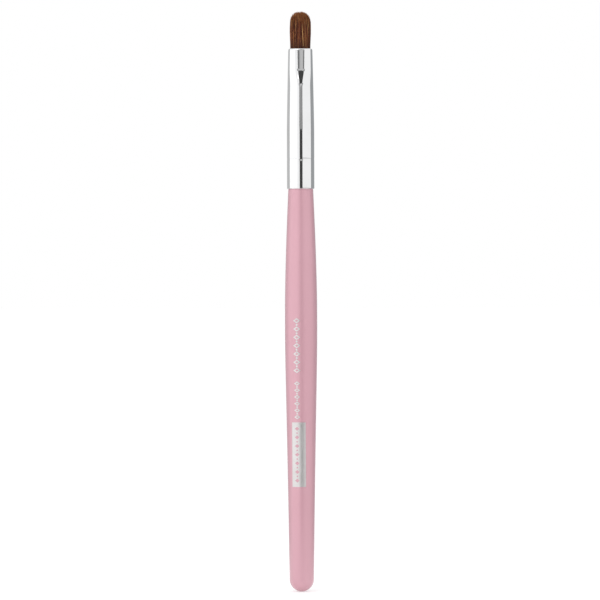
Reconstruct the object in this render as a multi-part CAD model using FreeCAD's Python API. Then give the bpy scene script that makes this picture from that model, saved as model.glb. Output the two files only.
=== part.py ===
"""Acrylic nail brush: lacquered wooden handle, drawn metal ferrule and an oval hair tuft.

The brush stands along +Z with the hair up. The origin is the lowest point of the handle's rounded
butt, on the long axis. +X runs across the wide side of the pressed ferrule mouth, and -Y is the
stamped front. Every length is in millimetres.
"""

import FreeCAD
import Part
import math
import os

# Levels up the brush
BRUSH_LENGTH = 165.0
FERRULE_FOOT_Z = 114.4
CRIMP_Z = 122.8
TAPER_START_Z = 131.0
PRESS_START_Z = 143.5
MOUTH_Z = 154.3

# Handle: butt dome, then the (radius, level) stations of its slim barrel shape
BUTT_RADIUS = 3.46
BUTT_HEIGHT = 3.5
HANDLE_STATIONS = [
    (BUTT_RADIUS, BUTT_HEIGHT),
    (3.80, 26.0),
    (4.29, 53.0),
    (4.60, 77.0),
    (4.23, 97.0),
    (3.54, FERRULE_FOOT_Z),
]
LACQUER_THICKNESS = 0.14
LACQUER_TUCK = 1.0  # how far the coat runs up inside the ferrule
SPIGOT_RADIUS = 3.40
SPIGOT_TOP_Z = 129.6
SPIGOT_CHAMFER = 0.6

# Ferrule: a round barrel with one rolled crimp, then a taper that is pressed oval at the mouth
BARREL_RADIUS = 3.875
WALL = 0.30
CRIMP_WIDTH = 0.55
CRIMP_DEPTH = 0.06
MOUTH_HALF_WIDTH = 3.42
TAPER_POWER = 1.2
PRESS_DEPTH = 0.62  # how much the mouth is pressed in, front and back
SHOULDER_LENGTH = 5.0  # the short stretch that takes most of the press
SHOULDER_SHARE = 0.7
PRESSED_SQUARENESS = 2.6  # superellipse exponent of the mouth, where 2 is a plain ellipse
MOUTH_ROUNDING = 0.5
LIP_INWARD = 0.25  # how far the rolled lip stands in from the bore's wall

# Hair tuft, its thread tie and the epoxy that sets its root, from the root up
ROOT_Z = 137.4
TIE_Z = 138.9
TIE_RADIUS = 2.45
THREAD_DIAMETER = 0.28
THREAD_TURNS = 6
THREAD_PITCH = 0.30
ROOT_RADIUS = 2.75
ROOT_CHAMFER = 0.3
EPOXY_FOOT_Z = 136.2
EPOXY_TOP_Z = 141.6
BELLY_Z = 160.4
BELLY_HALF_WIDTH = 3.06
BELLY_HALF_DEPTH = 2.35
DOME_SQUARENESS = 2.5
DOME_POINTS = 8

# Hot-stamped foil on the handle's front: a panel with marks knocked out, and two rows of marks above
FOIL_THICKNESS = 0.03
PANEL_FOOT_Z = 29.9
PANEL_HEIGHT = 18.3
PANEL_WIDTH = 4.1
PANEL_TURN = -11.0  # degrees about +Z from straight ahead
ROWS_TURN = -16.0
PANEL_ROW_SHIFT = -0.45  # how far the panel's row of marks stands to the left of its middle
# Each row of marks: lozenges, level of the lowest, pitch, width, height, dot between, stroke (0 is solid)
PANEL_ROW = (7, 31.7, 2.45, 1.35, 1.1, 0.45, 0)
LOWER_ROW = (6, 49.7, 1.9, 1.8, 1.25, 0.5, 0.3)
UPPER_ROW = (7, 62.9, 2.35, 2.15, 1.5, 0.6, 0.34)

# How the curved shapes are drawn
TAPER_STEPS = 5  # equal steps between the levels that the round taper is drawn through
PRESS_STEPS = 8  # the same for the pressed stretch, and for the hair's belly
BELLY_STEPS = 4
SECTION_POINTS = 24  # points of the formula that each oval section is drawn through
SEAM = 0.002  # gap that is closed where a turned face meets a lofted one
LEVEL = 0.01  # how near an edge is to a level that it counts as lying in it
BEYOND = 10.0  # how far a cutting tool reaches past what it cuts

UP = FreeCAD.Vector(0, 0, 1)
AXIS_POINT = FreeCAD.Vector(0, 0, 0)


def at(radius, z):
    """A point in the XZ plane, where every turned profile is drawn."""
    return FreeCAD.Vector(radius, 0, z)


def line(start, end):
    return Part.LineSegment(start, end).toShape()


def lines(path):
    """Straight edges from each point of a path to the next."""
    return [line(start, end) for start, end in zip(path, path[1:])]


def turned(edges):
    """The solid that a closed profile in the XZ plane sweeps about the long axis."""
    solid = Part.Face(Part.Wire(edges)).revolve(AXIS_POINT, UP, 360)
    return Part.Solid(solid) if solid.ShapeType == "Shell" else solid


def eased(share):
    """0 before the stretch, 1 after it, and smooth in between."""
    share = min(max(share, 0.0), 1.0)
    return share * share * (3 - 2 * share)


def levels(low, high, steps):
    """Evenly spaced levels. A loft or spline through uneven ones swells out between them."""
    return [low + (high - low) * i / steps for i in range(steps + 1)]


# ---- Handle ----


def handle_blank(inset, top_edges):
    """The handle's turned shape, moved in by inset and closed at the top by top_edges."""
    rim = at(BUTT_RADIUS - inset, BUTT_HEIGHT)
    dome = Part.Ellipse(at(0, inset), rim, at(0, BUTT_HEIGHT))
    side = Part.BSplineCurve()
    side.interpolate(Points=[at(radius - inset, z) for radius, z in HANDLE_STATIONS])
    return turned([Part.ArcOfEllipse(dome, 0, math.pi / 2).toShape(), side.toShape(), *top_edges])


def handle_core():
    """Turned hardwood core, with the bare spigot that the ferrule is glued and crimped on."""
    path = [
        at(HANDLE_STATIONS[-1][0] - LACQUER_THICKNESS, FERRULE_FOOT_Z),
        at(SPIGOT_RADIUS, FERRULE_FOOT_Z + LACQUER_TUCK),
        at(SPIGOT_RADIUS, SPIGOT_TOP_Z - SPIGOT_CHAMFER),
        at(SPIGOT_RADIUS - SPIGOT_CHAMFER, SPIGOT_TOP_Z),
        at(0, SPIGOT_TOP_Z),
        at(0, LACQUER_THICKNESS),
    ]
    return handle_blank(LACQUER_THICKNESS, lines(path))


def lacquered_shape(proud=0.0):
    """The handle's finished outside, or the same shape standing proud of it."""
    radius, top = HANDLE_STATIONS[-1][0] + proud, FERRULE_FOOT_Z + LACQUER_TUCK
    path = [at(radius, FERRULE_FOOT_Z), at(radius, top), at(0, top), at(0, -proud)]
    return handle_blank(-proud, lines(path))


def handle_lacquer(core):
    """Dipped colour coat, a thin skin over the core that ends just inside the ferrule."""
    return lacquered_shape().cut(core)


# ---- Foil stamping ----


def stamped(marks, turn):
    """Foil on the handle's front where the marks, drawn flat in the XZ plane, are pushed on to it."""
    skin = lacquered_shape(FOIL_THICKNESS).cut(lacquered_shape())
    tools = []
    for mark in marks:
        mark.translate(FreeCAD.Vector(0, -BEYOND, 0))
        tools.append(mark.extrude(FreeCAD.Vector(0, BEYOND, 0)))
    tool = Part.makeCompound(tools)
    tool.rotate(AXIS_POINT, UP, turn)
    return skin.common(tool)


def flat_disc(radius, z):
    return Part.Face(Part.Wire(Part.makeCircle(radius, at(0, z), FreeCAD.Vector(0, 1, 0))))


def flat_polygon(corners):
    """A face in the XZ plane with these (x, z) corners."""
    return Part.Face(Part.makePolygon([at(x, z) for x, z in corners + corners[:1]]))


def flat_lozenge(width, height, z):
    return flat_polygon([(0, z + height / 2), (width / 2, z), (0, z - height / 2), (-width / 2, z)])


def row_of_marks(lozenges, lowest_z, pitch, width, height, dot, stroke):
    """Lozenges up the handle with a dot between each two, and lozenge frames where a stroke is given."""
    marks = []
    for i in range(lozenges):
        z = lowest_z + i * pitch
        lozenge = flat_lozenge(width, height, z)
        if stroke:
            share = 1 - 2 * stroke * math.hypot(1 / width, 1 / height)
            lozenge = lozenge.cut(flat_lozenge(width * share, height * share, z)).Faces[0]
        marks.append(lozenge)
        if i < lozenges - 1:
            marks.append(flat_disc(dot / 2, z + pitch / 2))
    return marks


def foil_panel():
    """Foil rectangle with a row of marks left out of it, so that the lacquer shows."""
    side, top_z = PANEL_WIDTH / 2, PANEL_FOOT_Z + PANEL_HEIGHT
    panel = flat_polygon([(-side, PANEL_FOOT_Z), (side, PANEL_FOOT_Z), (side, top_z), (-side, top_z)])
    row = Part.makeCompound(row_of_marks(*PANEL_ROW))
    row.translate(FreeCAD.Vector(PANEL_ROW_SHIFT, 0, 0))
    return stamped(panel.cut(row).Faces, PANEL_TURN)


def foil_ornaments():
    """Two rows of lozenge frames and dots, the upper row larger."""
    return stamped(row_of_marks(*LOWER_ROW) + row_of_marks(*UPPER_ROW), ROWS_TURN)


# ---- Ferrule ----


def half_width(z):
    """Outer half width of the ferrule above the barrel."""
    share = max(z - TAPER_START_Z, 0.0) / (MOUTH_Z - TAPER_START_Z)
    return BARREL_RADIUS - (BARREL_RADIUS - MOUTH_HALF_WIDTH) * share**TAPER_POWER


def pressed(z):
    """How far the press has closed at a level, from 0 to 1 at the mouth: a shoulder, then evenly."""
    above = max(z - PRESS_START_Z, 0.0)
    evenly = above / (MOUTH_Z - PRESS_START_Z)
    return SHOULDER_SHARE * eased(above / SHOULDER_LENGTH) + (1 - SHOULDER_SHARE) * evenly


def half_depth(z):
    return half_width(z) - PRESS_DEPTH * pressed(z)


def oval(across, deep, squareness, z):
    """A closed superellipse at a level, with its points at equal angles."""
    points = []
    for i in range(SECTION_POINTS):
        turn = 2 * math.pi * i / SECTION_POINTS
        c, s = math.cos(turn), math.sin(turn)
        reach = (abs(c / across) ** squareness + abs(s / deep) ** squareness) ** (-1 / squareness)
        points.append(FreeCAD.Vector(reach * c, reach * s, z))
    curve = Part.BSplineCurve()
    shares = [i / SECTION_POINTS for i in range(SECTION_POINTS + 1)]
    curve.interpolate(Points=points, PeriodicFlag=True, Parameters=shares)
    return Part.Wire(curve.toShape())


def ferrule_section(z, inset):
    squareness = 2 + (PRESSED_SQUARENESS - 2) * pressed(z)
    return oval(half_width(z) - inset, half_depth(z) - inset, squareness, z)


def pressed_stretch(inset, top_z):
    """The solid inside the ferrule's pressed skin, moved in by inset."""
    sections = [ferrule_section(z, inset) for z in levels(PRESS_START_Z, top_z, PRESS_STEPS)]
    return Part.makeLoft(sections, True)


def taper_side(inset):
    """The side of the round taper, from the barrel up to where the press begins."""
    path = levels(TAPER_START_Z, PRESS_START_Z, TAPER_STEPS)
    side = Part.BSplineCurve()
    side.interpolate(Points=[at(half_width(z) - inset, z) for z in path])
    return side.toShape()


def rounded_top(solid, z, radius):
    """The solid with the edge of its flat top face rounded."""
    boxes = [(edge, edge.BoundBox) for edge in solid.Edges]
    rim = [edge for edge, box in boxes if box.ZMin > z - LEVEL and box.ZLength < LEVEL]
    return solid.makeFillet(radius, rim)


def mouth_half_sizes():
    """Half width and half depth of the hole inside the rolled lip."""
    inset = WALL + LIP_INWARD
    return half_width(MOUTH_Z) - inset, half_depth(MOUTH_Z) - inset


def mouth_opening(foot_z, top_z):
    """The straight oval hole that the hair comes out of."""
    across, deep = mouth_half_sizes()
    hole = Part.Face(oval(across, deep, PRESSED_SQUARENESS, foot_z))
    return hole.extrude(FreeCAD.Vector(0, 0, top_z - foot_z))


def crimped_side(radius):
    """A straight side up the barrel with the crimp's arc in it."""
    low, high = CRIMP_Z - CRIMP_WIDTH / 2, CRIMP_Z + CRIMP_WIDTH / 2
    arc = Part.Arc(at(radius, low), at(radius - CRIMP_DEPTH, CRIMP_Z), at(radius, high))
    foot, top = FERRULE_FOOT_Z + WALL / 2, TAPER_START_Z
    return [line(at(radius, foot), at(radius, low)), arc.toShape(), line(at(radius, high), at(radius, top))]


def round_wall():
    """The round tube from its foot, through the crimp and the taper, to where the press begins."""
    inner, outer = BARREL_RADIUS - WALL, BARREL_RADIUS
    foot = FERRULE_FOOT_Z + WALL / 2
    foot_arc = Part.Arc(at(inner, foot), at((inner + outer) / 2, FERRULE_FOOT_Z), at(outer, foot))
    top = half_width(PRESS_START_Z)
    rim = line(at(top, PRESS_START_Z), at(top - WALL, PRESS_START_Z))
    outside = [foot_arc.toShape(), *crimped_side(outer), taper_side(0)]
    return turned([*outside, rim, taper_side(WALL), *reversed(crimped_side(inner))])


def pressed_bore():
    """The room inside the pressed stretch, up to the underside of the rolled lip."""
    lip_z = MOUTH_Z - WALL
    return rounded_top(pressed_stretch(WALL, lip_z), lip_z, MOUTH_ROUNDING - WALL)


def ferrule(bore):
    """Drawn tube with a rolled crimp in its barrel, a taper, and a pressed mouth with a rolled lip."""
    outside = rounded_top(pressed_stretch(0, MOUTH_Z), MOUTH_Z, MOUTH_ROUNDING)
    opening = mouth_opening(MOUTH_Z - 2 * WALL, MOUTH_Z + BEYOND)
    return round_wall().fuse([outside.cut(bore).cut(opening)], SEAM).removeSplitter()


def ferrule_adhesive():
    """Glue film between the spigot and the ferrule, which fills the crimp's bead from inside."""
    foot = FERRULE_FOOT_Z + LACQUER_TUCK
    top = SPIGOT_TOP_Z - SPIGOT_CHAMFER
    wall = BARREL_RADIUS - WALL
    low, high = CRIMP_Z - CRIMP_WIDTH / 2, CRIMP_Z + CRIMP_WIDTH / 2
    bead = Part.Arc(at(wall, low), at(wall - CRIMP_DEPTH, CRIMP_Z), at(wall, high))
    below = lines([at(SPIGOT_RADIUS, foot), at(wall, foot), at(wall, low)])
    above = lines([at(wall, high), at(wall, top), at(SPIGOT_RADIUS, top), at(SPIGOT_RADIUS, foot)])
    return turned([*below, bead.toShape(), *above])


# ---- Hair ----


def hair_root():
    """The tied root and the flare above it, where the bundle opens to fill the bore."""
    tie_half = THREAD_TURNS * THREAD_PITCH / 2
    path = [
        at(0, ROOT_Z),
        at(ROOT_RADIUS - ROOT_CHAMFER, ROOT_Z),
        at(ROOT_RADIUS, ROOT_Z + ROOT_CHAMFER),
        at(TIE_RADIUS, TIE_Z - tie_half),
        at(TIE_RADIUS, TIE_Z + tie_half),
        at(half_width(PRESS_START_Z) - WALL, PRESS_START_Z),
        at(0, PRESS_START_Z),
        at(0, ROOT_Z),
    ]
    return turned(lines(path))


def hair_belly():
    """The free hair, from the mouth's oval to its widest level."""
    across, deep = mouth_half_sizes()
    sections = []
    for z in levels(MOUTH_Z, BELLY_Z, BELLY_STEPS):
        share = (z - MOUTH_Z) / (BELLY_Z - MOUTH_Z)
        width = across + (BELLY_HALF_WIDTH - across) * eased(share)
        depth = deep + (BELLY_HALF_DEPTH - deep) * eased(share)
        squareness = PRESSED_SQUARENESS + (2 - PRESSED_SQUARENESS) * share
        sections.append(oval(width, depth, squareness, z))
    return Part.makeLoft(sections, True)


def hair_tip():
    """The domed tip above the belly: a full round dome, narrowed front to back to the belly's oval."""
    power = 2 / DOME_SQUARENESS
    rise = BRUSH_LENGTH - BELLY_Z
    points = []
    for i in range(DOME_POINTS + 1):
        turn = math.pi / 2 * i / DOME_POINTS
        radius = BELLY_HALF_WIDTH * math.cos(turn) ** power
        points.append(at(radius, BELLY_Z + rise * math.sin(turn) ** power))
    points[-1] = at(0, BRUSH_LENGTH)
    side = Part.BSplineCurve()
    side.interpolate(Points=points, InitialTangent=UP, FinalTangent=FreeCAD.Vector(-1, 0, 0))
    foot = at(0, BELLY_Z)
    dome = turned([side.toShape(), *lines([points[-1], foot, points[0]])])
    narrowing = FreeCAD.Matrix()
    narrowing.scale(1, BELLY_HALF_DEPTH / BELLY_HALF_WIDTH, 1)
    return dome.transformGeometry(narrowing)


def hair_tuft(bore):
    """One bundle: a tied root, a flare, a packed neck that fills the mouth, a belly and a tip."""
    throat = mouth_opening(MOUTH_Z - WALL, MOUTH_Z)
    return hair_root().fuse([bore, throat, hair_belly(), hair_tip()], SEAM).removeSplitter()


def binding_thread():
    """One thread wound round the root, turn beside turn."""
    centre = TIE_RADIUS + THREAD_DIAMETER / 2
    height = THREAD_TURNS * THREAD_PITCH - THREAD_DIAMETER
    helix = Part.makeHelix(THREAD_PITCH, height, centre)
    end = Part.Wire(Part.makeCircle(THREAD_DIAMETER / 2, at(centre, 0), FreeCAD.Vector(0, 1, 0)))
    thread = Part.Wire(helix).makePipeShell([end], True, True)
    thread.translate(FreeCAD.Vector(0, 0, TIE_Z - height / 2))
    return thread


def root_epoxy():
    """Epoxy poured round the root from below, which encloses the tie and wets part of the flare."""
    foot, top = half_width(TAPER_START_Z) - WALL, half_width(PRESS_START_Z) - WALL
    axis = [at(top, PRESS_START_Z), at(0, PRESS_START_Z), at(0, TAPER_START_Z), at(foot, TAPER_START_Z)]
    taper_bore = turned([taper_side(WALL), *lines(axis)])
    poured = Part.makeCylinder(BEYOND, EPOXY_TOP_Z - EPOXY_FOOT_Z, at(0, EPOXY_FOOT_Z))
    tie_height = THREAD_TURNS * THREAD_PITCH
    tie = Part.makeCylinder(TIE_RADIUS + THREAD_DIAMETER, tie_height, at(0, TIE_Z - tie_height / 2))
    return taper_bore.common(poured).cut(hair_root()).cut(tie)


def build():
    core = handle_core()
    bore = pressed_bore()
    return {
        "handle_core": core,
        "handle_lacquer": handle_lacquer(core),
        "foil_panel": foil_panel(),
        "foil_ornaments": foil_ornaments(),
        "ferrule": ferrule(bore),
        "ferrule_adhesive": ferrule_adhesive(),
        "hair_tuft": hair_tuft(bore),
        "binding_thread": binding_thread(),
        "root_epoxy": root_epoxy(),
    }


def main():
    os.makedirs("parts", exist_ok=True)
    for node, shape in build().items():
        shape.exportStep(f"parts/{node}.step")
        print(f"{node}: {len(shape.Solids)} solids, {shape.Volume:.2f} mm3, valid {shape.isValid()}")


main()
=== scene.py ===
"""An acrylic nail brush standing upright in a white studio.

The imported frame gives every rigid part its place. This script gives the brush its finished surfaces:
a dipped pearl-pink coat, stamped foil, a bright plated ferrule and a tuft of separate hairs.
The brush is drawn in millimetres and stored in metres, and the studio is in metres.
"""
import bpy
import bmesh
import math
import numpy as np
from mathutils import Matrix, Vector


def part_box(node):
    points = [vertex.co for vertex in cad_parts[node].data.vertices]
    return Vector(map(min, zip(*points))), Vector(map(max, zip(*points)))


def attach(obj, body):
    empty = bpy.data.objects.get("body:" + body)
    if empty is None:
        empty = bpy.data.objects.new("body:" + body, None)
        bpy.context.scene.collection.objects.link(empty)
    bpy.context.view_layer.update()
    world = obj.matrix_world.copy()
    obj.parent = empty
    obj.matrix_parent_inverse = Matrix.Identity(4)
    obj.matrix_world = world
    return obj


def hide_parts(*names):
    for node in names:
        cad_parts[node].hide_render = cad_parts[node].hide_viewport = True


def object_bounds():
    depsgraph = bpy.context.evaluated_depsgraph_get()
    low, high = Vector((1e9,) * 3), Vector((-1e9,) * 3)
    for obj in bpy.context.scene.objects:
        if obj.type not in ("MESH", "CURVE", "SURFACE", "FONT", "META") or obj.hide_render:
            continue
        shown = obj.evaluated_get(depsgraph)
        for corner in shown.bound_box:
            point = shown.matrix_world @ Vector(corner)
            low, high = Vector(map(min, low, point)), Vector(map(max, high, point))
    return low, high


MM = 0.001

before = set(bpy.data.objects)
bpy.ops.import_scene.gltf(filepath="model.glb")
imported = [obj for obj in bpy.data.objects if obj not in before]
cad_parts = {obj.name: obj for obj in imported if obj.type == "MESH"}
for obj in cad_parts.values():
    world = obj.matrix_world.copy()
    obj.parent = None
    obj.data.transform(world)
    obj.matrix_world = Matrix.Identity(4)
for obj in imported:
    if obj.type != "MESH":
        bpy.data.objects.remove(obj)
cad_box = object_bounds()


# ---------------------------------------------------------------- sizes taken from the frame

handle_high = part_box("handle_lacquer")[1] / MM
ferrule_low, ferrule_high = (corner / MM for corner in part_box("ferrule"))
tuft_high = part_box("hair_tuft")[1] / MM
panel_low, panel_high = (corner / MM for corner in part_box("foil_panel"))

FERRULE_FOOT = ferrule_low.z
MOUTH = ferrule_high.z
BARREL_RADIUS = ferrule_high.x
BRUSH_TOP = tuft_high.z

# ---------------------------------------------------------------- handle sizes

BUTT_RADIUS = 3.46
BUTT_HEIGHT = 3.5
HANDLE_STATIONS = [
    (BUTT_RADIUS, BUTT_HEIGHT),
    (3.80, 26.0),
    (4.29, 53.0),
    (4.60, 77.0),
    (4.23, 97.0),
    (3.54, FERRULE_FOOT),
]
COAT = 0.14
RIM_CHAMFER = 0.05

# ---------------------------------------------------------------- ferrule sizes

WALL = 0.30
CRIMP = 122.8
CRIMP_WIDTH = 0.30
CRIMP_DEPTH = 0.025
CRIMP_SWELL = 0.16  # the swell beside the crimp, as a share of its depth
SWELL_AWAY = 2.1  # how many crimp widths the swell stands away
CRIMP_REACH = 1.1  # how far the crimp's shape is drawn on both sides
TAPER_START = 131.0
MOUTH_HALF_WIDTH = 3.42
TAPER_POWER = 1.2
PRESS_START = 143.5
PRESS_DEPTH = 0.62
SHOULDER = 5.0
SHOULDER_SHARE = 0.7  # how much of the press the shoulder takes
SQUARENESS = 2.6
LIP_ROUNDING = 0.5
LIP_INWARD = 0.25
LIP_EDGE = 0.05  # rounding of the lip's inner edge

# ---------------------------------------------------------------- hair sizes

HAIR_ROOT = 151.6
BELLY = 160.4
BELLY_HALF_WIDTH = 3.08
BELLY_HALF_DEPTH = 2.35


# ---------------------------------------------------------------- shape helpers

def through(stations):
    """A smooth curve through (radius, level) stations, as a function from level to radius."""
    radii, levels = (np.array(column, float) for column in zip(*stations))
    gaps = np.diff(levels)
    slopes = np.diff(radii) / gaps
    count = len(levels)
    system, target = np.eye(count), np.zeros(count)
    for i in range(1, count - 1):
        system[i, i - 1 : i + 2] = gaps[i - 1], 2 * (gaps[i - 1] + gaps[i]), gaps[i]
        target[i] = 6 * (slopes[i] - slopes[i - 1])
    bends = np.linalg.solve(system, target)

    def radius(level):
        i = int(np.clip(np.searchsorted(levels, level) - 1, 0, count - 2))
        before, after = level - levels[i], levels[i + 1] - level
        curve = (bends[i] * after**3 + bends[i + 1] * before**3) / (6 * gaps[i])
        start = (radii[i] / gaps[i] - bends[i] * gaps[i] / 6) * after
        end = (radii[i + 1] / gaps[i] - bends[i + 1] * gaps[i] / 6) * before
        return float(curve + start + end)

    return radius


def steps(start, end, count):
    """Evenly spaced values from start to end, both included."""
    return [start + (end - start) * i / count for i in range(count + 1)]


def eased(share):
    share = min(max(share, 0.0), 1.0)
    return share * share * (3 - 2 * share)


def squared(across, deep, power):
    """A direction's two parts raised to a power, which makes a circle of them squarer."""
    return [math.copysign(abs(share) ** power, share) for share in (across, deep)]


def turned(outline, segments):
    """A closed (radius, level) outline in millimetres, spun about the long axis."""
    bm = bmesh.new()
    points = [bm.verts.new((radius * MM, 0, level * MM)) for radius, level in outline]
    edges = [bm.edges.new(pair) for pair in zip(points, points[1:])]
    if outline[0][0] > 0:
        edges.append(bm.edges.new((points[-1], points[0])))
    full_turn = {"angle": 2 * math.pi, "steps": segments, "use_merge": True}
    bmesh.ops.spin(bm, geom=points + edges, cent=(0, 0, 0), axis=(0, 0, 1), **full_turn)
    bmesh.ops.remove_doubles(bm, verts=bm.verts, dist=0.0002 * MM)
    bmesh.ops.recalc_face_normals(bm, faces=bm.faces)
    return bm


def curve_surface(curve):
    """The surface that a curve draws, as a bmesh."""
    drawing = bpy.data.objects.new("drawing", curve)
    bpy.context.collection.objects.link(drawing)
    shown = drawing.evaluated_get(bpy.context.evaluated_depsgraph_get())
    bm = bmesh.new()
    bm.from_mesh(shown.to_mesh())
    bpy.data.objects.remove(drawing)
    return bm


def placed(name, bm, material):
    """A bmesh stored as an object of the scene."""
    mesh = bpy.data.meshes.new(name)
    bm.to_mesh(mesh)
    bm.free()
    mesh.materials.append(material)
    thing = bpy.data.objects.new(name, mesh)
    bpy.context.collection.objects.link(thing)
    return thing


def finish_piece(name, bm, material, *replaced):
    """Stores a bmesh as a smooth piece that rides with the brush."""
    piece = placed(name, bm, material)
    piece.data.shade_smooth()
    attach(piece, "root")
    if replaced:
        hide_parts(*replaced)
    return piece


# ---------------------------------------------------------------- material helpers

def add(tree, kind, settings=None, **inputs):
    """A shader node with its settings, and its inputs set to values or joined to other outputs."""
    node = tree.nodes.new("ShaderNode" + kind)
    for key, value in (settings or {}).items():
        setattr(node, key, value)
    for key, value in inputs.items():
        numbered = key[0] == "i" and key[1:].isdigit()
        socket = node.inputs[int(key[1:]) if numbered else key.replace("_", " ")]
        if isinstance(value, bpy.types.NodeSocket):
            tree.links.new(value, socket)
        else:
            socket.default_value = value
    return node


def math_node(tree, operation, first, second):
    return add(tree, "Math", {"operation": operation}, i0=first, i1=second).outputs[0]


def remap(tree, value, low, high, to_low, to_high):
    """The value moved from one range to another and held there."""
    given = {"Value": value, "From_Min": low, "From_Max": high, "To_Min": to_low, "To_Max": to_high}
    return add(tree, "MapRange", {"clamp": True}, **given).outputs[0]


def blend_colours(tree, share, first, second, mode="MIX"):
    settings = {"data_type": "RGBA", "blend_type": mode}
    return add(tree, "Mix", settings, i0=share, i6=first, i7=second).outputs[2]


def new_finish(name):
    """A material with one Principled shader, given back with its tree."""
    material = bpy.data.materials.new(name)
    material.use_nodes = True
    tree = material.node_tree
    shader = tree.nodes["Principled BSDF"]
    return material, tree, shader


def place(tree, stretch=(1, 1, 1)):
    """Object coordinates, stretched."""
    here = add(tree, "TexCoord").outputs["Object"]
    return add(tree, "Mapping", Vector=here, Scale=stretch).outputs[0]


def noise(tree, where, scale, detail=3.0, roughness=0.5):
    given = {"Vector": where, "Scale": scale, "Detail": detail, "Roughness": roughness}
    return add(tree, "TexNoise", **given).outputs[0]


def handling_group():
    """Traces of use on a smooth surface: finger smudges, dust specks and hairline scratches."""
    group = bpy.data.node_groups.new("handling_marks", "ShaderNodeTree")
    for name, value in (("Smudge Scale", 120.0), ("Speck Scale", 900.0), ("Scratch Scale", 260.0)):
        socket = group.interface.new_socket(name=name, in_out="INPUT", socket_type="NodeSocketFloat")
        socket.default_value = value
    for name in ("Smudges", "Specks", "Scratches"):
        group.interface.new_socket(name=name, in_out="OUTPUT", socket_type="NodeSocketFloat")
    given = group.nodes.new("NodeGroupInput")
    result = group.nodes.new("NodeGroupOutput")
    here = add(group, "TexCoord").outputs["Object"]
    cloud = noise(group, here, given.outputs["Smudge Scale"], 4.0, 0.6)
    smudges = remap(group, cloud, 0.46, 0.7, 0.0, 1.0)
    cells = add(group, "TexVoronoi", Vector=here, Scale=given.outputs["Speck Scale"])
    near = remap(group, cells.outputs["Distance"], 0.05, 0.14, 1.0, 0.0)
    patches = noise(group, here, given.outputs["Smudge Scale"], 1.0)
    chosen = remap(group, patches, 0.6, 0.66, 0.0, 1.0)
    specks = math_node(group, "MULTIPLY", near, chosen)
    bent = add(group, "Mapping", Vector=here, Rotation=(0.4, 1.1, 0.3), Scale=(1, 1, 0.12))
    thread = noise(group, bent.outputs[0], given.outputs["Scratch Scale"], 2.0)
    ridge = math_node(group, "ABSOLUTE", math_node(group, "SUBTRACT", thread, 0.5), 0.0)
    scratches = remap(group, ridge, 0.0, 0.004, 1.0, 0.0)
    for name, value in (("Smudges", smudges), ("Specks", specks), ("Scratches", scratches)):
        group.links.new(value, result.inputs[name])
    return group


HANDLING = handling_group()


def handling(tree, smudge_scale, speck_scale, scratch_scale):
    """The traces of use at these scales, as the outputs Smudges, Specks and Scratches."""
    node = tree.nodes.new("ShaderNodeGroup")
    node.node_tree = HANDLING
    node.inputs["Smudge Scale"].default_value = smudge_scale
    node.inputs["Speck Scale"].default_value = speck_scale
    node.inputs["Scratch Scale"].default_value = scratch_scale
    return node.outputs


def bump(tree, height, distance, strength=1.0):
    """Normals of a fine relief whose height is in metres at full value."""
    return add(tree, "Bump", Height=height, Distance=distance, Strength=strength).outputs[0]


# ---------------------------------------------------------------- materials

def pearl_lacquer():
    """Rose-pink pearl under a clear coat, with a slight orange peel."""
    material, tree, shader = new_finish("pearl_lacquer")
    marks = handling(tree, smudge_scale=90.0, speck_scale=1500.0, scratch_scale=320.0)
    here = place(tree)
    drift = remap(tree, noise(tree, here, 60.0, 2.0), 0.3, 0.7, 0.0, 1.0)
    rose = blend_colours(tree, drift, (0.605, 0.326, 0.384, 1), (0.625, 0.340, 0.400, 1))
    flakes = remap(tree, noise(tree, here, 22000.0, 0.0), 0.62, 0.8, 0.0, 0.05)
    shimmering = blend_colours(tree, flakes, rose, (0.95, 0.66, 0.70, 1))
    dust = math_node(tree, "MULTIPLY", marks["Specks"], 0.12)
    dusty = blend_colours(tree, dust, shimmering, (0.85, 0.8, 0.78, 1))
    tree.links.new(dusty, shader.inputs["Base Color"])
    shader.inputs["Metallic"].default_value = 0.30
    rough = remap(tree, marks["Smudges"], 0.0, 1.0, 0.37, 0.42)
    tree.links.new(rough, shader.inputs["Roughness"])
    shader.inputs["Coat Weight"].default_value = 0.75
    shader.inputs["Coat Roughness"].default_value = 0.27
    shader.inputs["Coat IOR"].default_value = 1.5
    peel = noise(tree, here, 900.0, 1.0)
    scratched = math_node(tree, "MULTIPLY", marks["Scratches"], -0.25)
    relief = math_node(tree, "ADD", peel, scratched)
    tree.links.new(bump(tree, relief, 0.0008 * MM, 0.5), shader.inputs["Normal"])
    return material


def plated_metal():
    """Bright nickel over drawn brass: faint lines along the tube, hairlines and finger smudges."""
    material, tree, shader = new_finish("plated_metal")
    marks = handling(tree, smudge_scale=140.0, speck_scale=1800.0, scratch_scale=420.0)
    drawn = noise(tree, place(tree, (1, 1, 0.02)), 5200.0, 2.0)
    dull = blend_colours(tree, marks["Smudges"], (0.860, 0.862, 0.870, 1), (0.825, 0.825, 0.825, 1))
    dust = math_node(tree, "MULTIPLY", marks["Specks"], 0.5)
    dusty = blend_colours(tree, dust, dull, (0.45, 0.44, 0.42, 1))
    tree.links.new(dusty, shader.inputs["Base Color"])
    shader.inputs["Metallic"].default_value = 1.0
    rough = remap(tree, math_node(tree, "ADD", marks["Smudges"], drawn), 0.3, 1.6, 0.03, 0.09)
    tree.links.new(rough, shader.inputs["Roughness"])
    relief = math_node(tree, "ADD", drawn, math_node(tree, "MULTIPLY", marks["Scratches"], -0.6))
    tree.links.new(bump(tree, relief, 0.0008 * MM, 0.5), shader.inputs["Normal"])
    return material


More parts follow.
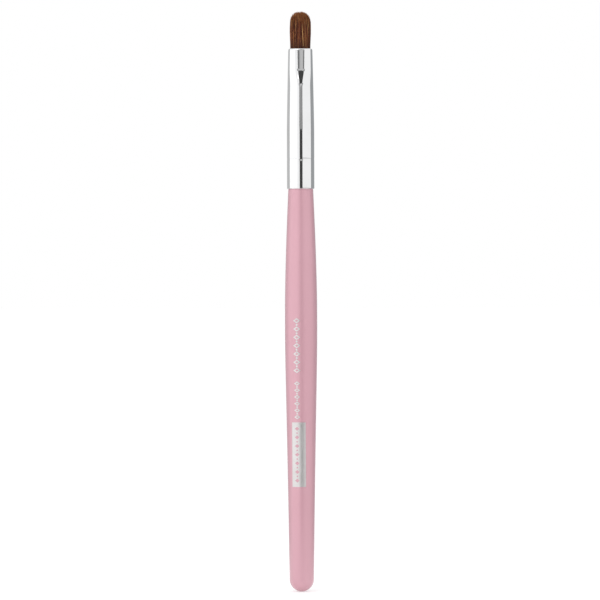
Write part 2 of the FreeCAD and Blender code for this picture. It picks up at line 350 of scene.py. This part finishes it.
def silver_foil():
    """Hot-stamped foil, slightly crinkled, with pinholes where the coat shows through."""
    material, tree, shader = new_finish("silver_foil")
    marks = handling(tree, smudge_scale=200.0, speck_scale=2500.0, scratch_scale=600.0)
    here = place(tree)
    holes = remap(tree, noise(tree, here, 5200.0, 2.0), 0.69, 0.73, 0.0, 1.0)
    silver = blend_colours(tree, marks["Smudges"], (0.70, 0.685, 0.68, 1), (0.65, 0.63, 0.625, 1))
    worn = blend_colours(tree, holes, silver, (0.66, 0.33, 0.40, 1))
    tree.links.new(worn, shader.inputs["Base Color"])
    tree.links.new(remap(tree, holes, 0.0, 1.0, 1.0, 0.2), shader.inputs["Metallic"])
    rough = remap(tree, noise(tree, here, 1400.0, 3.0), 0.3, 0.7, 0.37, 0.44)
    tree.links.new(rough, shader.inputs["Roughness"])
    crinkle = noise(tree, here, 2600.0, 3.0)
    tree.links.new(bump(tree, crinkle, 0.003 * MM, 0.5), shader.inputs["Normal"])
    return material


def sable_hair():
    """Dark brown hair, each strand with its own tone, warmer and lighter towards the tips, with
    painted shade darkening it towards the roots.
    """
    material, tree, shader = new_finish("sable_hair")
    tone = add(tree, "Attribute", {"attribute_name": "tone"}).outputs["Fac"]
    ramp = add(tree, "ValToRGB", Fac=tone)
    stops = ramp.color_ramp.elements
    stops[0].position, stops[0].color = 0.0, (0.020, 0.004, 0.001, 1)
    stops[1].position, stops[1].color = 1.0, (0.850, 0.500, 0.190, 1)
    browns = {0.3: (0.080, 0.019, 0.006, 1), 0.55: (0.190, 0.043, 0.021, 1)}
    browns[0.8] = (0.370, 0.140, 0.038, 1)
    for position, colour in browns.items():
        stop = stops.new(position)
        stop.color = colour
    along = add(tree, "Attribute", {"attribute_name": "along"}).outputs["Fac"]
    tip = remap(tree, along, 0.70, 1.0, 0.0, 0.62)
    warm = blend_colours(tree, tip, ramp.outputs[0], (0.46, 0.150, 0.034, 1))
    # painted shade: low down, just above the ferrule's mouth, the hair is blended towards near black
    root = remap(tree, along, 0.2, 0.42, 0.55, 0.0)
    deep = blend_colours(tree, root, warm, (0.018, 0.008, 0.006, 1))
    scales = noise(tree, place(tree, (1, 1, 0.3)), 9000.0, 2.0)
    uneven = blend_colours(tree, 0.35, deep, blend_colours(tree, 1.0, deep, scales, "MULTIPLY"))
    tree.links.new(uneven, shader.inputs["Base Color"])
    shader.inputs["Roughness"].default_value = 0.42
    shader.inputs["Specular IOR Level"].default_value = 0.22
    tree.links.new(bump(tree, scales, 0.004 * MM, 0.4), shader.inputs["Normal"])
    return material


def packed_hair():
    """The shade between the hairs at the heart of the tuft."""
    material, tree, shader = new_finish("packed_hair")
    streaks = noise(tree, place(tree, (1, 1, 0.05)), 7000.0, 3.0)
    colour = blend_colours(tree, streaks, (0.012, 0.006, 0.004, 1), (0.060, 0.024, 0.014, 1))
    tree.links.new(colour, shader.inputs["Base Color"])
    shader.inputs["Roughness"].default_value = 0.7
    tree.links.new(bump(tree, streaks, 0.03 * MM), shader.inputs["Normal"])
    return material


def plain_wood():
    """Turned pale hardwood with fine grain along the handle."""
    material, tree, shader = new_finish("plain_wood")
    grain = noise(tree, place(tree, (1, 1, 0.04)), 2600.0, 4.0, 0.6)
    colour = blend_colours(tree, grain, (0.52, 0.34, 0.19, 1), (0.74, 0.55, 0.36, 1))
    tree.links.new(colour, shader.inputs["Base Color"])
    shader.inputs["Roughness"].default_value = 0.6
    tree.links.new(bump(tree, grain, 0.02 * MM), shader.inputs["Normal"])
    return material


def waxed_thread():
    """Cream waxed cotton."""
    material, tree, shader = new_finish("waxed_thread")
    fibres = noise(tree, place(tree), 12000.0, 3.0)
    colour = blend_colours(tree, fibres, (0.60, 0.54, 0.42, 1), (0.80, 0.75, 0.62, 1))
    tree.links.new(colour, shader.inputs["Base Color"])
    shader.inputs["Roughness"].default_value = 0.55
    tree.links.new(bump(tree, fibres, 0.02 * MM), shader.inputs["Normal"])
    return material


def amber_glue():
    """Cured epoxy, cloudy amber."""
    material, tree, shader = new_finish("amber_glue")
    cloud = noise(tree, place(tree), 900.0, 3.0)
    colour = blend_colours(tree, cloud, (0.50, 0.30, 0.10, 1), (0.70, 0.50, 0.22, 1))
    tree.links.new(colour, shader.inputs["Base Color"])
    shader.inputs["Roughness"].default_value = 0.22
    return material


LACQUER = pearl_lacquer()
METAL = plated_metal()
FOIL = silver_foil()
HAIR = sable_hair()
PACKED = packed_hair()
HIDDEN = {
    "handle_core": plain_wood(),
    "binding_thread": waxed_thread(),
    "ferrule_adhesive": amber_glue(),
}
HIDDEN["root_epoxy"] = HIDDEN["ferrule_adhesive"]


# ---------------------------------------------------------------- handle

handle_radius = through(HANDLE_STATIONS)


def handle_outline(inset):
    """The handle's side from the butt's centre to the ferrule's foot."""
    outline = []
    for turn in steps(0, math.pi / 2, 28)[:-1]:
        radius = (BUTT_RADIUS - inset) * math.sin(turn)
        outline.append((radius, BUTT_HEIGHT - (BUTT_HEIGHT - inset) * math.cos(turn)))
    for level in steps(BUTT_HEIGHT, FERRULE_FOOT, 110):
        outline.append((handle_radius(level) - inset, level))
    return outline


def handle_coat():
    """The dipped coat: its outside, its rim just inside the ferrule, and its inside on the wood."""
    outside = handle_outline(0.0)
    inside = handle_outline(COAT)[::-1]
    rim_radius = outside[-1][0]
    outside[0], inside[-1] = (0.0, 0.0), (0.0, COAT)
    chamfer = [(rim_radius, handle_high.z - RIM_CHAMFER), (rim_radius - RIM_CHAMFER, handle_high.z)]
    rim = chamfer + [(inside[0][0], handle_high.z)]
    bm = turned(outside + rim + inside, segments=160)
    coat = finish_piece("handle_coat", bm, LACQUER, "handle_lacquer")


# ---------------------------------------------------------------- foil stamping

FOIL_THICKNESS = 0.03
ROLL_STEP = 0.12
PANEL_WIDTH = 4.1
PANEL_TURN = math.radians(-11.0)
ROWS_TURN = math.radians(-16.0)
PANEL_ROW_SHIFT = -0.45
# lozenges, level of the lowest, pitch, width, height, dot between, stroke (0 is solid)
PANEL_ROW = (7, 31.7, 2.45, 1.35, 1.1, 0.45, 0)
LOWER_ROW = (6, 49.7, 1.9, 1.8, 1.25, 0.5, 0.3)
UPPER_ROW = (7, 62.9, 2.35, 2.15, 1.5, 0.6, 0.34)


def lozenge_outline(width, height, level):
    side, end = width / 2, height / 2
    return [(0, level + end), (-side, level), (0, level - end), (side, level)]


def dot_outline(width, level, points=28):
    turns = [2 * math.pi * i / points for i in range(points)]
    return [(width / 2 * math.cos(t), level + width / 2 * math.sin(t)) for t in turns]


def row_outlines(lozenges, lowest, pitch, width, height, dot, stroke, across=0.0):
    """Outlines of a row of lozenges with dots between them; a stroke makes each lozenge a frame."""
    outlines = []
    for i in range(lozenges):
        level = lowest + i * pitch
        outlines.append(lozenge_outline(width, height, level))
        if stroke:
            share = 1 - 2 * stroke * math.hypot(1 / width, 1 / height)
            outlines.append(lozenge_outline(width * share, height * share, level))
        if i < lozenges - 1:
            outlines.append(dot_outline(dot, level + pitch / 2))
    return [[(x + across, level) for x, level in outline] for outline in outlines]


def flat_foil(outlines):
    """A flat sheet filled between closed outlines, drawn across and up in millimetres."""
    curve = bpy.data.curves.new("foil_outline", "CURVE")
    curve.dimensions = "2D"
    curve.fill_mode = "BOTH"
    for outline in outlines:
        spline = curve.splines.new("POLY")
        spline.points.add(len(outline) - 1)
        for point, (across, up) in zip(spline.points, outline):
            point.co = (across, up, 0, 1)
        spline.use_cyclic_u = True
    bm = curve_surface(curve)
    bmesh.ops.remove_doubles(bm, verts=bm.verts, dist=0.001)
    return bm


def rolled_foil(name, outlines, turn, replaced):
    """A flat sheet of foil cut into fine strips, rolled round the handle and given its thickness."""
    bm = flat_foil(outlines)
    half = max(abs(v.co.x) for v in bm.verts)
    low, high = (pick(v.co.y for v in bm.verts) for pick in (min, max))
    strips = int(2 * half / ROLL_STEP)
    across_cuts = [((x, 0, 0), (1, 0, 0)) for x in steps(-half, half, strips)[1:-1]]
    along_cuts = [((0, y, 0), (0, 1, 0)) for y in steps(low, high, int(high - low))[1:-1]]
    for point, direction in across_cuts + along_cuts:
        everything = bm.verts[:] + bm.edges[:] + bm.faces[:]
        bmesh.ops.bisect_plane(bm, geom=everything, dist=1e-5, plane_co=point, plane_no=direction)
    for v in bm.verts:
        across, up = v.co.x, v.co.y
        radius = handle_radius(up) + FOIL_THICKNESS
        angle = turn + across / radius
        v.co = Vector((radius * math.sin(angle), -radius * math.cos(angle), up)) * MM
    bmesh.ops.recalc_face_normals(bm, faces=bm.faces)
    sample = max(bm.faces, key=lambda face: face.calc_area())
    outward = Vector((sample.calc_center_median().x, sample.calc_center_median().y, 0))
    if sample.normal.dot(outward) < 0:
        bmesh.ops.reverse_faces(bm, faces=bm.faces)
    bmesh.ops.solidify(bm, geom=bm.faces[:], thickness=FOIL_THICKNESS * MM)
    piece = finish_piece(name, bm, FOIL, replaced)
    piece.data.set_sharp_from_angle(angle=math.radians(40))


def foil_panel():
    side = PANEL_WIDTH / 2
    sheet = [(-side, panel_low.z), (side, panel_low.z), (side, panel_high.z), (-side, panel_high.z)]
    knocked_out = row_outlines(*PANEL_ROW, across=PANEL_ROW_SHIFT)
    rolled_foil("foil_sheet", [sheet] + knocked_out, PANEL_TURN, "foil_panel")


def foil_rows():
    rows = row_outlines(*LOWER_ROW) + row_outlines(*UPPER_ROW)
    rolled_foil("foil_rows", rows, ROWS_TURN, "foil_ornaments")


# ---------------------------------------------------------------- ferrule

def half_width(level):
    share = max(level - TAPER_START, 0.0) / (MOUTH - TAPER_START)
    return BARREL_RADIUS - (BARREL_RADIUS - MOUTH_HALF_WIDTH) * share**TAPER_POWER


def pressed(level):
    """How far the press has closed: most of it on the shoulder, the rest evenly up to the mouth."""
    above = max(level - PRESS_START, 0.0)
    evenly = above / (MOUTH - PRESS_START)
    return SHOULDER_SHARE * eased(above / SHOULDER) + (1 - SHOULDER_SHARE) * evenly


def crimped(level):
    """How far the rolled crimp pulls the tube in at a level, with a slight swell on both sides."""
    away = (level - CRIMP) / CRIMP_WIDTH
    swell = CRIMP_SWELL * math.exp(-((abs(away) - SWELL_AWAY) ** 2))
    return CRIMP_DEPTH * (math.exp(-away * away) - swell)


def oval_point(angle, inset, level):
    """A point of the ferrule's oval section at a level."""
    power = 2 / (2 + (SQUARENESS - 2) * pressed(level))
    half_depth = half_width(level) - PRESS_DEPTH * pressed(level)
    across, deep = squared(math.cos(angle), math.sin(angle), power)
    return across * (half_width(level) - inset), deep * (half_depth - inset)


def ferrule_outline():
    """Up the outside, over the rolled lip and back down the bore to the foot."""
    outline = []
    for turn in steps(0, math.pi, 10):
        mid = BARREL_RADIUS - WALL / 2
        level = FERRULE_FOOT + WALL / 2 * (1 - math.sin(turn))
        outline.append((mid - WALL / 2 * math.cos(turn), level))
    for level in steps(FERRULE_FOOT + 0.5, CRIMP - CRIMP_REACH - 0.1, 12):
        outline.append((BARREL_RADIUS, level))
    for level in steps(CRIMP - CRIMP_REACH, CRIMP + CRIMP_REACH, 36):
        outline.append((BARREL_RADIUS - crimped(level), level))
    for level in steps(CRIMP + CRIMP_REACH + 0.1, TAPER_START, 12)[:-1]:
        outline.append((BARREL_RADIUS, level))
    tapered = steps(TAPER_START, PRESS_START, 26)[:-1] + steps(PRESS_START, MOUTH - LIP_ROUNDING, 64)
    for level in tapered:
        outline.append((half_width(level), level))
    for turn in steps(0, math.pi / 2, 10)[1:]:
        inset = LIP_ROUNDING * (1 - math.cos(turn))
        level = MOUTH - LIP_ROUNDING * (1 - math.sin(turn))
        outline.append((half_width(level) - inset, level))
    hole = WALL + LIP_INWARD
    for turn in steps(0, math.pi / 2, 4)[1:]:
        inset = hole - LIP_EDGE * (1 - math.sin(turn))
        level = MOUTH - LIP_EDGE * (1 - math.cos(turn))
        outline.append((half_width(level) - inset, level))
    for level, inset in ((MOUTH - WALL, hole), (MOUTH - WALL - 0.2, WALL)):
        outline.append((half_width(level) - inset, level))
    for level in steps(MOUTH - 0.8, TAPER_START, 50):
        outline.append((half_width(level) - WALL, level))
    for level in steps(CRIMP + CRIMP_REACH, CRIMP - CRIMP_REACH, 22):
        outline.append((BARREL_RADIUS - WALL - crimped(level), level))
    return outline


def ferrule_tube():
    """The tube is turned round first, and its top is then pressed to an oval."""
    bm = turned(ferrule_outline(), segments=224)
    for v in bm.verts:
        level = v.co.z / MM
        if level > PRESS_START:
            inset = half_width(level) - math.hypot(v.co.x, v.co.y) / MM
            across, deep = oval_point(math.atan2(v.co.y, v.co.x), inset, level)
            v.co.x, v.co.y = across * MM, deep * MM
    tube = finish_piece("ferrule_tube", bm, METAL, "ferrule")


# ---------------------------------------------------------------- hair

HAIRS = 2300
CLUMPS = 72
CLUMPING = 0.42
CLUMP_SHARE = 0.72  # how much of a hair's tone it shares with its clump
GOLDEN_SHARE = 0.04  # how many hairs are bleached golden
HAIR_POINTS = 11
HAIR_RADIUS = 0.055
GIRTHS = (0.75, 1.25)  # thinnest and thickest hair, as shares of the usual one
HAIR_TONES = (1.6, 1.8)  # shape of the spread of tones
CLUMP_TONES = (0.75, 0.95)
HAIR_SHORTFALL = 0.28  # how far hairs and whole clumps fall short of the dome
CLUMP_SHORTFALL = 0.14
LOWEST_TIP = 0.6  # no hair ends lower than this above the belly
WAVE = 0.03
WAVE_TURN = 5  # radians of wave from a hair's root to its tip
FULLNESS = 1.03  # how far the hairs are pushed out to fill the bundle's sides
SPOT_JITTER = 0.008
INNER_SHARE = 0.42  # how many of the hairs are in the inner bundle
THINNING_START = 0.72  # how far up a hair starts to thin towards its tip
THINNEST = 0.12
HEART_WIDTH = 0.84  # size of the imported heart, as a share of the bundle's
HEART_HEIGHT = 0.86
DOME_SQUARENESS = 2.6
GOLDEN_TURN = math.pi * (3 - math.sqrt(5))


def envelope(level):
    """Half width and half depth of the bundle at a level, up to the belly."""
    across = half_width(MOUTH) - WALL - LIP_INWARD
    deep = half_width(MOUTH) - PRESS_DEPTH - WALL - LIP_INWARD
    share = eased((level - MOUTH) / (BELLY - MOUTH))
    return across + (BELLY_HALF_WIDTH - across) * share, deep + (BELLY_HALF_DEPTH - deep) * share


def spread(number, count):
    """A point of an even scatter over the unit disc."""
    out, angle = math.sqrt((number + 0.5) / count), number * GOLDEN_TURN
    return Vector((out * math.cos(angle), out * math.sin(angle)))


def hair_path(spot, clump, chance):
    """Points and radii up one hair, which leaves the mouth at its spot and leans to its clump."""
    rise = BRUSH_TOP - BELLY
    out = min(spot.length, 0.999)
    dome = max(1 - out**DOME_SQUARENESS, 0.0) ** (1 / DOME_SQUARENESS)
    shortfall = abs(chance.normal(0, HAIR_SHORTFALL)) * (1 - 0.7 * out)
    end = BELLY + rise * dome - shortfall
    end = min(max(end - clump["short"], BELLY + LOWEST_TIP), BRUSH_TOP)
    girth = HAIR_RADIUS * chance.uniform(*GIRTHS)
    wave, phase = chance.normal(0, WAVE), chance.uniform(0, 2 * math.pi)
    path = []
    for i in range(HAIR_POINTS):
        along = 1 - (1 - i / (HAIR_POINTS - 1)) ** 1.25
        level = HAIR_ROOT + (end - HAIR_ROOT) * along
        across, deep = envelope(min(level, BELLY))
        power = 2 / (SQUARENESS + (2 - SQUARENESS) * eased((level - MOUTH) / (BELLY - MOUTH)))
        here = spot.lerp(clump["spot"], CLUMPING * along**1.5)
        reach = min(here.length * FULLNESS, 1.0)
        x, y = squared(here.x / here.length, here.y / here.length, power)
        sway = wave * math.sin(phase + WAVE_TURN * along)
        x = x * (across - girth) * reach + sway * math.cos(phase)
        y = y * (deep - girth) * reach + sway * math.sin(phase)
        thinned = max(along - THINNING_START, 0.0) / (1 - THINNING_START)
        taper = max(1 - thinned**2.2, THINNEST)
        path.append((Vector((x, y, level)) * MM, girth * taper * MM))
    return path


def hair_bundle(name, numbers, clumps, chance, *replaced):
    """Hairs as thin tapered tubes in one piece, with a tone for each and the place along it."""
    curve = bpy.data.curves.new(name, "CURVE")
    curve.dimensions = "3D"
    curve.bevel_depth = 1.0
    curve.bevel_resolution = 0
    curve.use_fill_caps = True
    tones = []
    for number in numbers:
        spot = spread(number, HAIRS) + Vector(chance.normal(0, SPOT_JITTER, 2))
        clump = min(clumps, key=lambda each: (each["spot"] - spot).length)
        path = hair_path(spot, clump, chance)
        tone = CLUMP_SHARE * clump["tone"] + (1 - CLUMP_SHARE) * chance.beta(*HAIR_TONES)
        tones.append(1.0 if chance.random() < GOLDEN_SHARE else tone)
        spline = curve.splines.new("POLY")
        spline.points.add(len(path) - 1)
        for point, (position, radius) in zip(spline.points, path):
            point.co = (*position, 1)
            point.radius = radius
        spline.use_smooth = True
    piece = finish_piece(name, curve_surface(curve), HAIR, *replaced)
    mesh = piece.data
    per_hair = len(mesh.vertices) // len(numbers)
    tones = np.repeat(tones, per_hair)
    heights = np.empty(len(mesh.vertices) * 3)
    mesh.vertices.foreach_get("co", heights)
    heights = (heights[2::3] / MM - HAIR_ROOT) / (BRUSH_TOP - HAIR_ROOT)
    for attribute, values in (("tone", tones), ("along", heights)):
        stored = mesh.attributes.new(attribute, "FLOAT", "POINT")
        stored.data.foreach_set("value", values.astype(np.float32))


def hair_heart():
    """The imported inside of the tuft, which no light gets through."""
    rise = BRUSH_TOP - BELLY
    outline = [(0.0, HAIR_ROOT)] + [(HEART_WIDTH, level) for level in steps(HAIR_ROOT, BELLY, 14)]
    for turn in steps(0, math.pi / 2, 12)[1:-1]:
        outline.append((HEART_WIDTH * math.cos(turn), BELLY + HEART_HEIGHT * rise * math.sin(turn)))
    outline.append((0.0, BELLY + HEART_HEIGHT * rise))
    bm = turned(outline, segments=72)
    for v in bm.verts:
        across, deep = envelope(v.co.z / MM)
        v.co.x, v.co.y = v.co.x * across, v.co.y * deep
    heart = finish_piece("hair_heart", bm, PACKED)


def hair_tuft():
    chance = np.random.default_rng(7)
    clumps = []
    for number in range(CLUMPS):
        short = abs(chance.normal(0, CLUMP_SHORTFALL))
        tone = chance.beta(*CLUMP_TONES)
        clumps.append({"spot": spread(number, CLUMPS) * 0.99, "tone": tone, "short": short})
    inner = int(HAIRS * INNER_SHARE)
    hair_bundle("hair_inner", range(inner), clumps, chance, "hair_tuft")
    hair_bundle("hair_outer", range(inner, HAIRS), clumps, chance)
    hair_heart()


# ---------------------------------------------------------------- studio

FRAME_MARGIN = 1.034  # height of the picture's frame against the brush's
AIM_ACROSS = -0.29  # how far the camera stands off the middle of the brush
AIM_UP = 0.36
CAMERA_ROLL = 0.165  # degrees
CARD_STEPS = 24
# the studio's cards are sized in metres
ABOVE_FLOOR = 0.0004  # keeps the cards that lie on the floor clear of it
FLOOR_CARD_REACH = (0.10, 3.0)


def glow(name, colour, strength):
    """A plain emitting sheet's material."""
    material = bpy.data.materials.new(name)
    material.use_nodes = True
    tree = material.node_tree
    tree.nodes.clear()
    light = add(tree, "Emission", Color=(*colour, 1), Strength=strength)
    tree.links.new(light.outputs[0], add(tree, "OutputMaterial").inputs["Surface"])
    return material


def stage_sheet(name, bm, material, lights=False):
    """Stores a studio card, which the camera never sees; it lights the brush only if asked."""
    sheet = placed(name, bm, material)
    sheet.visible_camera = sheet.visible_shadow = False
    sheet.visible_diffuse = lights


def swept(azimuths, ends):
    """An edge between two (distance, height) ends, swept from one azimuth to another.

    Azimuth 0 is the front and 90 the right.
    """
    bm = bmesh.new()
    start, stop = (math.radians(azimuth - 90) for azimuth in azimuths)
    points = []
    for distance, height in ends:
        points.append(bm.verts.new((distance * math.cos(start), distance * math.sin(start), height)))
    geom = points + [bm.edges.new(points)]
    sweep = {"axis": (0, 0, 1), "angle": stop - start, "steps": CARD_STEPS}
    bmesh.ops.spin(bm, geom=geom, cent=(0, 0, 0), **sweep)
    return bm


def card(name, azimuths, heights, distance, material, lights=False):
    """A curved card that stands round the brush."""
    bm = swept(azimuths, [(distance, height) for height in heights])
    stage_sheet(name, bm, material, lights)


def floor_card(name, azimuths, material):
    """A flat sector lying round the brush that only reflections see."""
    bm = swept(azimuths, [(distance, ABOVE_FLOOR) for distance in FLOOR_CARD_REACH])
    stage_sheet(name, bm, material)


def floor():
    """A wide pale floor."""
    bm = bmesh.new()
    bmesh.ops.create_circle(bm, cap_ends=True, segments=96, radius=30.0)
    material, _, shader = new_finish("pale_floor")
    shader.inputs["Base Color"].default_value = (0.66, 0.66, 0.66, 1)
    shader.inputs["Emission Color"].default_value = (1, 1, 1, 1)
    shader.inputs["Emission Strength"].default_value = 0.38
    shader.inputs["Roughness"].default_value = 1.0
    shader.inputs["Specular IOR Level"].default_value = 0.0
    placed("studio_floor", bm, material)


def lamp(name, azimuth, elevation, distance, size, power):
    """A square soft light aimed at the middle of the brush."""
    data = bpy.data.lights.new(name, "AREA")
    data.shape = "SQUARE"
    data.size = size
    data.energy = power
    turn, lift = math.radians(azimuth), math.radians(elevation)
    level = Vector((math.sin(turn), -math.cos(turn), 0)) * math.cos(lift)
    away = level + Vector((0, 0, math.sin(lift)))
    light = bpy.data.objects.new(name, data)
    light.location = middle + away * distance
    light.rotation_mode = "QUATERNION"
    light.rotation_quaternion = away.to_track_quat("Z", "Y")
    bpy.context.collection.objects.link(light)
    light.visible_camera = False


def studio():
    world = bpy.data.worlds.new("white_studio")
    world.use_nodes = True
    world.node_tree.nodes["Background"].inputs["Color"].default_value = (1, 1, 1, 1)
    world.node_tree.nodes["Background"].inputs["Strength"].default_value = 1.0
    bpy.context.scene.world = world
    bpy.context.scene.view_settings.view_transform = "Standard"
    floor()
    lamp("top_lamp", azimuth=-30, elevation=45, distance=0.5, size=0.30, power=0.50)
    # each card is given its azimuths in degrees, its heights and its distance
    card("left_softbox", (-104, -27), (-0.5, 1.5), 2.6, glow("softbox_glow", (1, 1, 1), 1.22), True)
    black = glow("gap_black", (1, 1, 1), 0.06)
    dark = glow("gap_dark", (1, 1, 1), 0.15)
    grey = glow("gap_grey", (1, 1, 1), 0.36)
    light = glow("gap_light", (1, 1, 1), 0.55)
    card("front_gap_low", (-8, 16), (-0.6, 0.33), 3.0, black)
    card("front_gap_sides", (-9, 17), (0.33, 0.80), 3.02, dark)
    card("front_gap_middle", (-3.5, 11.5), (0.33, 0.80), 3.0, grey)
    card("front_gap_patch", (-0.5, 8.5), (0.48, 0.80), 2.98, light)
    card("front_gap_flare", (-14, 22), (0.64, 0.94), 3.01, grey)
    card("front_gap_flare_patch", (-7, 15), (0.66, 0.92), 2.97, light)
    card("front_gap_high", (-8, 16), (0.80, 2.2), 3.0, black)
    right_grey = glow("flag_grey", (0.95, 0.98, 1), 0.38)
    rear_grey = glow("rear_grey", (1, 1, 1), 0.56)
    card("right_flag", (98, 180), (-0.6, 1.8), 3.0, right_grey)
    card("left_flag", (-180, -106), (-0.6, 1.8), 3.0, rear_grey)
    floor_card("floor_gap", (-8, 16), black)
    floor_card("floor_side", (16, 98), glow("side_grey", (1, 1, 1), 0.70))
    floor_card("floor_right", (98, 150), right_grey)
    floor_card("floor_left", (-160, -106), rear_grey)


def camera():
    """A long lens level with the middle of the brush, rolled so that the brush leans a little."""
    data = bpy.data.cameras.new("camera")
    data.lens = 200
    data.sensor_width = 36
    view = bpy.data.objects.new("camera", data)
    bpy.context.collection.objects.link(view)
    framed = BRUSH_TOP * MM * FRAME_MARGIN
    distance = framed * data.lens / data.sensor_width
    view.location = middle + Vector((AIM_ACROSS * MM, -distance, AIM_UP * MM))
    view.rotation_euler = (math.radians(90), math.radians(CAMERA_ROLL), 0)
    data.clip_start, data.clip_end = 0.01, 100
    bpy.context.scene.camera = view


middle = (cad_box[0] + cad_box[1]) / 2
handle_coat()
foil_panel()
foil_rows()
ferrule_tube()
hair_tuft()
for node, finish in HIDDEN.items():
    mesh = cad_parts[node].data
    mesh.materials.clear()
    mesh.materials.append(finish)
studio()
camera()
